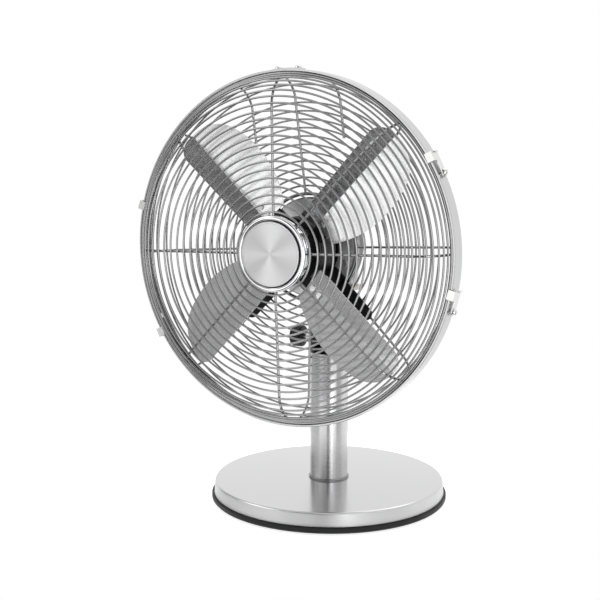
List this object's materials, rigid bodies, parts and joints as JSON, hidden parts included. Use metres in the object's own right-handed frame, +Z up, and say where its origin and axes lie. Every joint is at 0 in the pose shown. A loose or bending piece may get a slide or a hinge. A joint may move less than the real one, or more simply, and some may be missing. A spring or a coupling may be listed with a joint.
{
  "type": "desk fan",
  "caption": "Metal desk fan: round weighted base, steel column with tilt knob, swinging motor head, folded blades behind a chrome wire guard with clip-on front.",
  "frame": {"origin": "on the table, at the centre of the base's underside, on the column's axis", "axes": "+Z up along the column; -Y is the way the fan faces and blows; +X to the right seen from the front"},
  "size_m": [0.3542, 0.2556, 0.4542],
  "materials": {
    "mat_rubber": "matt moulded rubber",
    "pan_black": "fine-grained black moulding",
    "steel_brushed": "brushed stainless steel",
    "rim_steel": "satin steel band",
    "clip_steel": "bright plated spring steel",
    "iron_weight": "rough cast",
    "plated_screws": "bright zinc plate",
    "black_metal": "semi-gloss black paint",
    "black_plastic": "semi-gloss black moulding",
    "motor_alloy": "die-cast, bead blasted",
    "shell_grey": "dark grey metallic paint",
    "core_steel": "stacked steel sheet",
    "shaft_steel": "ground steel",
    "copper_coils": "lacquered copper wire",
    "bearing_bronze": "sintered bronze",
    "gear_plastic": "natural nylon",
    "switch_plastic": "grey moulding",
    "chrome_wire": "bright chrome plate",
    "blade_aluminium": "fine brushed along the blade",
    "badge_metal": "brushed in circles",
    "bezel_chrome": "polished"
  },
  "bodies": {
    "base": {"anti_slip_mat": "mat_rubber", "base_underpan": "pan_black", "base_weight": "iron_weight", "base_cover": "steel_brushed", "base_screws": "plated_screws", "column_collar": "steel_brushed", "column_foot_plug": "black_plastic", "column_tube": "steel_brushed", "column_tie_rod": "plated_screws", "column_screws": "black_metal", "tilt_socket": "black_metal", "tilt_bolt": "plated_screws"},
    "neck": {"tilt_neck": "black_metal", "swivel_pin": "plated_screws"},
    "swing_link": {"crank_link": "black_metal"},
    "fan": {"fan_shaft": "shaft_steel", "motor_rotor": "core_steel", "fan_blade_1": "blade_aluminium", "fan_blade_2": "blade_aluminium", "fan_blade_3": "blade_aluminium", "fan_blade_4": "blade_aluminium", "blade_spider": "black_metal", "blade_rivets": "plated_screws", "blade_hub": "black_plastic", "hub_nut": "plated_screws"},
    "crank": {"worm_wheel": "gear_plastic"},
    "tilt_handle": {"tilt_knob": "black_plastic"},
    "speed_handle": {"speed_knob": "black_plastic"},
    "swing_handle": {"swing_knob": "black_plastic"},
    "clip_1": {"guard_clip_1": "clip_steel"},
    "clip_2": {"guard_clip_2": "clip_steel"},
    "clip_3": {"guard_clip_3": "clip_steel"},
    "clip_4": {"guard_clip_4": "clip_steel"},
    "head": {"badge_backing": "black_metal", "badge_bezel": "bezel_chrome", "badge_disc": "badge_metal", "badge_plate": "bezel_chrome", "cord_gland": "black_plastic", "front_guard_rings": "chrome_wire", "front_guard_spokes": "chrome_wire", "gearbox_case": "gear_plastic", "guard_arm_screws": "black_metal", "guard_arms": "black_metal", "guard_rim_band": "rim_steel", "motor_front_bell": "motor_alloy", "motor_rear_bell": "motor_alloy", "motor_screws": "plated_screws", "motor_shell": "shell_grey", "motor_stator": "core_steel", "motor_windings": "copper_coils", "rear_cap": "shell_grey", "rear_guard_rings": "chrome_wire", "rear_guard_spokes": "chrome_wire", "rim_joint_strap": "rim_steel", "rim_lock_screw": "plated_screws", "rim_rivets": "plated_screws", "shaft_bushes": "bearing_bronze", "speed_switch": "switch_plastic", "swivel_bush": "bearing_bronze", "swivel_housing": "motor_alloy"}
  },
  "joints": [
    {"name": "tilt", "type": "hinge", "parent": "base", "child": "neck", "pos_m": [0, 0, 0.174], "axis": [1, 0, 0], "range_deg": [-30, 10]},
    {"name": "swing", "type": "hinge", "parent": "neck", "child": "head", "pos_m": [0, 0, 0.21], "axis": [0, 0, 1], "range_deg": [-40, 40]},
    {"name": "swing_link_turn", "type": "hinge", "parent": "neck", "child": "swing_link", "pos_m": [-0.01081, 0.01179, 0.2175], "axis": [0, 0, 1], "range_deg": [-32.5, 32.5]},
    {"name": "fan_spin", "type": "hinge", "parent": "head", "child": "fan", "pos_m": [0, -0.085, 0.275], "axis": [0, 1, 0], "continuous": true},
    {"name": "crank_turn", "type": "hinge", "parent": "head", "child": "crank", "pos_m": [0.014, 0.022, 0.275], "axis": [0, 0, 1], "continuous": true},
    {"name": "tilt_knob_turn", "type": "hinge", "parent": "base", "child": "tilt_handle", "pos_m": [-0.037, 0, 0.174], "axis": [-1, 0, 0], "range_deg": [0, 360]},
    {"name": "speed_knob_turn", "type": "hinge", "parent": "head", "child": "speed_handle", "pos_m": [0, 0.052, 0.275], "axis": [0, 1, 0], "range_deg": [-180, 0]},
    {"name": "swing_knob_pull", "type": "slide", "parent": "head", "child": "swing_handle", "axis": [0, 0, 1], "range_m": [0, 0.008]},
    {"name": "clip_1_swing", "type": "hinge", "parent": "head", "child": "clip_1", "pos_m": [0.15836, -0.08675, 0.35361], "axis": [0.8957, 0, 0.4446], "range_deg": [0, 70]},
    {"name": "clip_2_swing", "type": "hinge", "parent": "head", "child": "clip_2", "pos_m": [-0.16717, -0.08675, 0.33256], "axis": [-0.9455, 0, 0.3256], "range_deg": [0, 70]},
    {"name": "clip_3_swing", "type": "hinge", "parent": "head", "child": "clip_3", "pos_m": [-0.15891, -0.08675, 0.1975], "axis": [-0.8988, 0, -0.4384], "range_deg": [0, 70]},
    {"name": "clip_4_swing", "type": "hinge", "parent": "head", "child": "clip_4", "pos_m": [0.16995, -0.08675, 0.22627], "axis": [0.9613, 0, -0.2756], "range_deg": [0, 70]}
  ],
  "couplings": [
    {"joint": "crank_turn", "follows": "fan_spin", "ratio": 0.035714},
    {"joint": "swing_link_turn", "follows": "swing", "ratio": 0.8}
  ]
}
